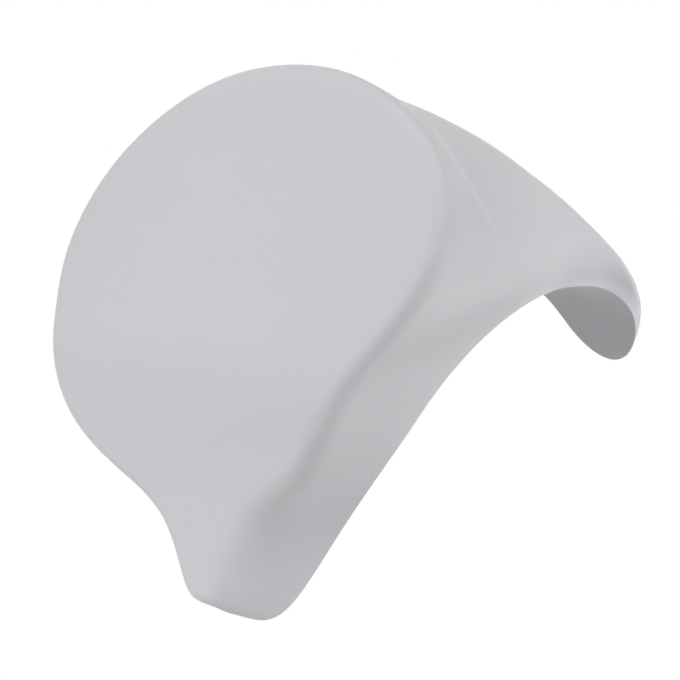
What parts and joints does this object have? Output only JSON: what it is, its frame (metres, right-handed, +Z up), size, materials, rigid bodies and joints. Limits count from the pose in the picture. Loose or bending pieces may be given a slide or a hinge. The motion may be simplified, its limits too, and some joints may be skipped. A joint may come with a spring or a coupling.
{
  "type": "bath pillow",
  "caption": "Moulded foam bath pillow: a round tilted face narrows to a neck, and its arched underside hooks over the rim of a bath, with suction cups to grip the wall below.",
  "frame": {"origin": "middle of the flat seat that rests on the bath's rim", "axes": "+X across the pillow, -Y towards the bather, +Z up; the rim's seat faces -Z"},
  "size_m": [0.25, 0.252, 0.2259],
  "materials": {
    "skin": "matte light grey moulded polyurethane skin",
    "base_skin": "matte light grey moulded polyurethane sheet",
    "foam": null,
    "stiffener": "bent stainless steel strip",
    "socket": "moulded polypropylene bush",
    "cup": "smooth clear-grey flexible vinyl"
  },
  "bodies": {
    "pillow": {"outer_skin": "skin", "base_skin": "base_skin", "foam_core": "foam", "saddle_stiffener": "stiffener", "cup_socket_left": "socket", "cup_socket_right": "socket", "cup_socket_lower": "socket"},
    "cup_left": {"suction_cup_left": "cup"},
    "cup_right": {"suction_cup_right": "cup"},
    "cup_lower": {"suction_cup_lower": "cup"}
  },
  "joints": [
    {"name": "cup_left_pull", "type": "slide", "parent": "pillow", "child": "cup_left", "axis": [0, 0.9157, -0.4019], "range_m": [0, 0.012]},
    {"name": "cup_right_pull", "type": "slide", "parent": "pillow", "child": "cup_right", "axis": [0, 0.9157, -0.4019], "range_m": [0, 0.012]},
    {"name": "cup_lower_pull", "type": "slide", "parent": "pillow", "child": "cup_lower", "axis": [0, 0.9157, -0.4019], "range_m": [0, 0.012]}
  ]
}
